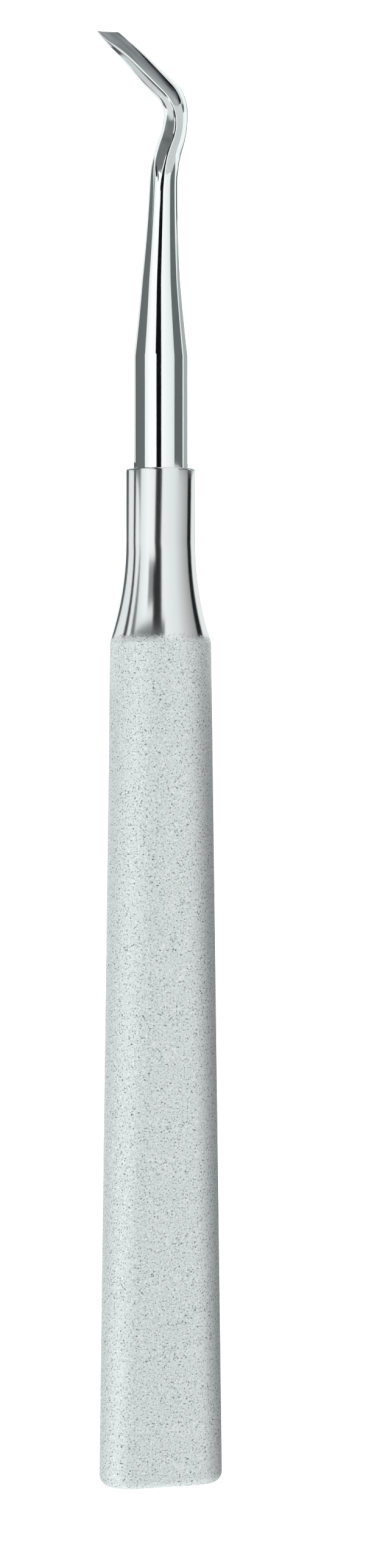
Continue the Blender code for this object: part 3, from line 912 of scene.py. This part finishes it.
# %% [markdown]
# ## Flags
# A tool that reflects nothing but white would vanish against white paper. Dark cards, which
# photographers call flags, draw its form: a black slot where the camera looks into the tent
# makes the line down the middle of the polished parts, and cards that lie on the paper or stand
# low on both sides darken them towards their edges. Only reflections see them.

# %% Card stock, and how a card is set up
# Height over the paper of the axis that a card's angle is measured round
AXIS_HEIGHT = 7.0


def card_stock(name, hex_colour):
    material, tree = new_material(name)
    matt = add_node(tree, "ShaderNodeBsdfDiffuse", inputs={"Color": linear(hex_colour)})
    add_node(tree, "ShaderNodeOutputMaterial", inputs={"Surface": matt.outputs["BSDF"]})
    return material


def flag(name, start, end, along, stock):
    """A card between two (x, z) lines in millimetres that run along the tool."""
    deselect_all()
    (x0, z0), (x1, z1), (y0, y1) = start, end, along
    bpy.ops.mesh.primitive_plane_add(
        size=1.0, location=((x0 + x1) / 2 * MM, (y0 + y1) / 2 * MM, (z0 + z1) / 2 * MM),
        rotation=(0.0, -math.atan2(z1 - z0, x1 - x0), 0.0))
    card = bpy.context.object
    card.name = name
    card.scale = (math.hypot(x1 - x0, z1 - z0) * MM, (y1 - y0) * MM, 1.0)
    bpy.ops.object.transform_apply(location=True, rotation=True, scale=True)
    card.data.materials.append(stock)
    card.visible_camera = card.visible_diffuse = card.visible_shadow = False
    card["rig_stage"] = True


def on_tent(degrees, distance):
    """The (x, z) place at an angle from straight up and a distance from the tool's axis."""
    turn = math.radians(degrees)
    return distance * math.sin(turn), distance * math.cos(turn) + AXIS_HEIGHT


black_card = card_stock("black_card", "#060606")
grey_card = card_stock("grey_card", "#707474")
pale_card = card_stock("pale_card", "#B4B8B8")
middle_card = card_stock("middle_card", "#9A9E9E")
light_card = card_stock("light_card", "#CFD2D2")
stocks = (black_card, grey_card, middle_card, pale_card, light_card)
print("Stocks from dark to light:", [stock.name for stock in stocks])

# %% [markdown]
# ### Cards along the tool
# Each card runs along the tool only where it is wanted. A slanting part sees another stretch of
# the tent than the straight part beside it, so the taper and the flare of the neck have slots of
# their own, and these stay where the straight parts don't see them.

# %% Cards along the tool
# The slot where the camera looks in, left open over one stretch
flag("camera_slot", on_tent(-37, 700), on_tent(-16, 700), (-60, 1400), black_card)
flag("camera_slot_end", on_tent(-37, 700), on_tent(-16, 700), (-600, -200), black_card)
# Standing to the right of the shank, the neck and the grip
flag("shank_flag", on_tent(41, 36), on_tent(86, 36), (34.5, 82), grey_card)
flag("neck_flag", (26, 2.5), (26, 12), (8, 34.2), black_card)
flag("grip_flag", (30, 0.5), (30, 20), (-90, 8), black_card)
# Grey strips on the paper under the neck: painted shadow, the tool's own shadow there as the
# steel reflects it
flag("neck_shade", (-6.5, 0.2), (-2, 0.2), (5, 34.0), grey_card)
flag("right_neck_shade", (3, 0.2), (8, 0.2), (5, 34.0), grey_card)
# Slots for the taper and for the flare of the neck
flag("taper_slot", on_tent(-41, 690), on_tent(-36, 690), (210, 430), black_card)
# A flare card's distance from the tool, and the stretch along it that only the flare reflects
FLARE_CARDS = ((600, 102, 150), (350, 82, 118), (200, 70, 100))
for count, (distance, first, last) in enumerate(FLARE_CARDS):
    middle, stretch = on_tent(-43, distance), (first, last)
    flag(f"flare_slot_{count}", middle, on_tent(-36, distance), stretch, black_card)
    flag(f"flare_shade_{count}", on_tent(-58, distance), middle, stretch, middle_card)
# Lying on the paper, to the left and to the right
flag("left_neck_flag", (-22, 0.2), (-15, 0.2), (8, 34.6), black_card)
flag("left_shank_flag", (-700, 0.3), (-5.6, 0.3), (33.5, 71), grey_card)
flag("left_taper_flag", (-800, 0.35), (-50, 0.35), (60, 220), grey_card)
flag("left_grip_flag", (-70, 0.3), (-8, 0.3), (-90, 8), light_card)
flag("right_grip_flag", (8, 0.3), (30, 0.3), (-90, 8), grey_card)
flag("right_shank_flag", (8, 0.3), (60, 0.3), (33.5, 62), pale_card)
# Past the shank on the paper, overhead, and close to the blade
flag("far_floor_card", (-800, 0.2), (-2, 0.2), (86, 700), black_card)
flag("overhead_card", (-200, 650), (130, 650), (-460, -45), black_card)
flag("facet_card", on_tent(-49, 40), on_tent(-70, 40), (78, 96), middle_card)
flag("facet_rim_card", on_tent(-70, 40), on_tent(-82, 40), (78, 96), black_card)
flag("right_blade_flag", (4, 0.3), (21, 0.3), (62, 79), grey_card)

# %% [markdown]
# ### Curtains across the tent
# The parts of the tool that slope towards its ends look along the tent. A grey curtain hangs
# across it past the tip, and a pale one past the butt, so that these parts don't mirror white.

# %% Curtains
CURTAIN_PLACE = 0.45
# A curtain's name, two opposite corners of it in metres, and its stock
CURTAINS = (("end_curtain", (-0.8, CURTAIN_PLACE, 0.0), (-0.09, CURTAIN_PLACE, 0.8), grey_card),
            ("near_curtain", (-0.5, -CURTAIN_PLACE, 0.16), (0.1, -CURTAIN_PLACE, 0.6), pale_card))
for name, start, end, stock in CURTAINS:
    deselect_all()
    middle = [(a + b) / 2 for a, b in zip(start, end)]
    bpy.ops.mesh.primitive_plane_add(size=1.0, location=middle, rotation=(math.pi / 2, 0.0, 0.0))
    curtain = bpy.context.object
    curtain.name = name
    curtain.scale = (end[0] - start[0], end[2] - start[2], 1.0)
    bpy.ops.object.transform_apply(location=True, rotation=True, scale=True)
    curtain.data.materials.append(stock)
    curtain.visible_camera = curtain.visible_diffuse = curtain.visible_shadow = False
    curtain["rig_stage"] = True

# %% [markdown]
# ## Floor
# The floor is white paper. The camera sees it a little brighter than the light makes it, so that
# the paper comes out pure white and still holds the tool's soft shadow. The steel sees only a
# share of that extra brightness, because its rims would melt into the paper otherwise.

# %% Floor and background
PAPER_SIZE = 8.0
PAPER_COLOUR = "#F2F2F2"
# Brightness of the paper in the camera's eye, and the share of it that reflections see
PAPER_GLOW = 1.6
MIRRORED_SHARE = 0.25


def white_paper():
    material, tree = new_material("white_paper")
    path = add_node(tree, "ShaderNodeLightPath")
    looked_at = path.outputs["Is Camera Ray"]
    for kind in ("Is Glossy Ray", "Is Transmission Ray"):
        looked_at = add_node(tree, "ShaderNodeMath", {"operation": "MULTIPLY_ADD"}, {
            0: path.outputs[kind], 1: MIRRORED_SHARE, 2: looked_at}).outputs["Value"]
    plain = add_node(tree, "ShaderNodeBsdfDiffuse", inputs={"Color": linear(PAPER_COLOUR)})
    bright = add_node(tree, "ShaderNodeBsdfDiffuse", inputs={"Color": (*[PAPER_GLOW] * 3, 1.0)})
    seen = add_node(tree, "ShaderNodeMixShader", inputs={0: looked_at})
    tree.links.new(plain.outputs["BSDF"], seen.inputs[1])
    tree.links.new(bright.outputs["BSDF"], seen.inputs[2])
    add_node(tree, "ShaderNodeOutputMaterial", inputs={"Surface": seen.outputs["Shader"]})
    return material


deselect_all()
bpy.ops.mesh.primitive_plane_add(size=PAPER_SIZE)
floor = bpy.context.object
floor.name = "floor"
floor.data.materials.append(white_paper())
floor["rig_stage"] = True

world = bpy.data.worlds.new("white_room")
world.use_nodes = True
world.node_tree.nodes["Background"].inputs["Color"].default_value = (1.0, 1.0, 1.0, 1.0)
world.node_tree.nodes["Background"].inputs["Strength"].default_value = 1.0
bpy.context.scene.world = world
print("The floor is", round(floor.dimensions.x, 1), "m wide")

# %% [markdown]
# ## Sizes
# The dressed tool's box is measured beside the CAD model's box, and its size is printed. The
# dressed tool stays within 3% of the CAD model's box, which is written down beside its own.

# %% Finish
boxes = {"cad": cad_box, "visual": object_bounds()}
size = [round((high - low) / MM, 1) for low, high in zip(*boxes["visual"])]
print("The dressed tool measures", size, "mm")
